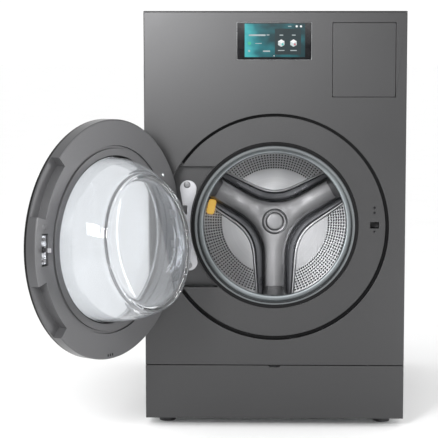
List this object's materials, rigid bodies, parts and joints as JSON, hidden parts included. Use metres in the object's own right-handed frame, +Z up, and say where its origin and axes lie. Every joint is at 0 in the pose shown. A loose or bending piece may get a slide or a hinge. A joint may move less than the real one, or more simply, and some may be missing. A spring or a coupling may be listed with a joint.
{
  "type": "washer dryer combo",
  "caption": "Front-loading washer and heat-pump dryer in one tall graphite cabinet, with a round glass-bowl door standing open on a three-armed steel drum.",
  "frame": {"origin": "on the floor, at the centre of the cabinet's footprint", "axes": "+Z up, -Y out of the front, +X to the user's right when facing the front"},
  "size_m": [0.9295, 1.3978, 1.1],
  "materials": {
    "graphite_panel": "satin graphite paint with a fine metallic grain",
    "zinc_steel": "zinc-coated sheet",
    "screw_zinc": "zinc-plated",
    "black_glass": "glossy black glass with a lit picture behind it",
    "bezel_metal": "satin metal edge",
    "grey_moulding": "fine textured moulding",
    "white_moulding": "smooth moulding",
    "black_moulding": "matte black moulding",
    "valve_body": "moulded valve bodies",
    "cast_weight": "rough cast concrete",
    "bright_steel": "turned and ground steel",
    "spring_steel": "coiled wire",
    "damper_body": "moulded tube",
    "drum_stainless": "satin stainless, drawn and perforated",
    "arm_satin": "satin cover, brushed along its arms",
    "amber_plastic": "amber moulding",
    "lifter_plastic": "dark moulding",
    "cast_aluminium": "die-cast",
    "motor_iron": "painted laminations and steel cup",
    "seal_black": "matte black rubber",
    "gasket_grey": "soft grey rubber",
    "hinge_silver": "satin cast bracket",
    "door_grey": "satin graphite moulding",
    "door_black": "gloss black edge",
    "window_glass": "flat clear window",
    "bowl_glass": "moulded clear bowl",
    "latch_chrome": "bright plated",
    "heat_fins": "pressed fins",
    "compressor_black": "black enamel",
    "copper": "drawn copper",
    "fan_motor_steel": "pressed can"
  },
  "bodies": {
    "cabinet": {"base_pan": "zinc_steel", "levelling_feet": "black_moulding", "left_side_panel": "graphite_panel", "right_side_panel": "graphite_panel", "rear_panel": "zinc_steel", "cabinet_screws": "screw_zinc", "top_panel": "graphite_panel", "spring_rails": "zinc_steel", "heat_pump_base": "grey_moulding", "heat_pump_cover": "grey_moulding", "heat_exchanger_coils": "heat_fins", "compressor": "compressor_black", "refrigerant_pipes": "copper", "fan_motor": "fan_motor_steel", "front_panel": "graphite_panel", "display_bezel": "bezel_metal", "display_glass": "black_glass", "display_housing": "grey_moulding", "dispenser_housing": "grey_moulding", "damper_tubes": "damper_body", "suspension_springs": "spring_steel", "gasket_trim_ring": "seal_black", "door_gasket": "gasket_grey", "hinge_bracket": "hinge_silver", "door_lock": "black_moulding", "drain_pump": "black_moulding", "sump_hose": "seal_black", "drain_spigot": "black_moulding", "water_valves": "valve_body", "power_gland": "black_moulding"},
    "tub": {"tub_front": "grey_moulding", "tub_rear": "grey_moulding", "front_counterweights": "cast_weight", "drum_bearings": "bright_steel", "motor_stator": "motor_iron", "damper_rods": "bright_steel"},
    "drum": {"drum_shell": "drum_stainless", "drum_back": "drum_stainless", "drum_arm_cover": "arm_satin", "hub_cap": "arm_satin", "arm_lock_tab": "amber_plastic", "drum_lifters": "lifter_plastic", "drum_spider": "cast_aluminium", "motor_rotor": "motor_iron"},
    "door": {"door_inner_frame": "door_grey", "door_hinge_pin": "bright_steel", "door_outer_trim": "door_black", "door_window": "window_glass", "door_bowl": "bowl_glass", "bowl_seal": "seal_black", "latch_plate": "latch_chrome", "latch_screws": "screw_zinc", "latch_pin": "bright_steel"},
    "latch": {"latch_hook": "latch_chrome"},
    "drawer": {"drawer_front": "graphite_panel", "drawer_tray": "white_moulding", "tank_covers": "white_moulding"},
    "service_flap": {"service_panel": "graphite_panel"},
    "pump_filter": {"filter_cap": "black_moulding"},
    "fan": {"fan_wheel": "black_moulding"}
  },
  "joints": [
    {"name": "tub_bounce", "type": "slide", "parent": "cabinet", "child": "tub", "axis": [0, 0, 1], "range_m": [-0.008, 0.008], "stiffness_N_per_m": 60000, "springref_m": 0.0107, "deforming": ["suspension_springs", "door_gasket", "sump_hose"]},
    {"name": "drum_spin", "type": "hinge", "parent": "tub", "child": "drum", "pos_m": [0, -0.435, 0.5404], "axis": [0, -0.9951, 0.0993], "continuous": true},
    {"name": "door_hinge", "type": "hinge", "parent": "cabinet", "child": "door", "pos_m": [-0.2765, -0.447, 0.5335], "axis": [0, 0, 1], "range_deg": [-3.5, 121.5]},
    {"name": "latch_hook_pivot", "type": "hinge", "parent": "door", "child": "latch", "pos_m": [-0.5473, -0.91379, 0.5335], "axis": [0, 0, 1], "range_deg": [0, 8], "stiffness_Nm_per_rad": 0.2, "springref_deg": -5.73},
    {"name": "drawer_slide", "type": "slide", "parent": "cabinet", "child": "drawer", "axis": [0, -1, 0], "range_m": [0, 0.27]},
    {"name": "service_panel_hinge", "type": "hinge", "parent": "cabinet", "child": "service_flap", "pos_m": [0.311, -0.424, 0.0305], "axis": [1, 0, 0], "range_deg": [0, 75]},
    {"name": "filter_cap_turn", "type": "hinge", "parent": "cabinet", "child": "pump_filter", "pos_m": [0.262, -0.4, 0.092], "axis": [0, -1, 0], "range_deg": [-90, 0]},
    {"name": "fan_spin", "type": "hinge", "parent": "cabinet", "child": "fan", "pos_m": [-0.12, 0.3, 0.9], "axis": [0, 0, 1], "continuous": true}
  ]
}
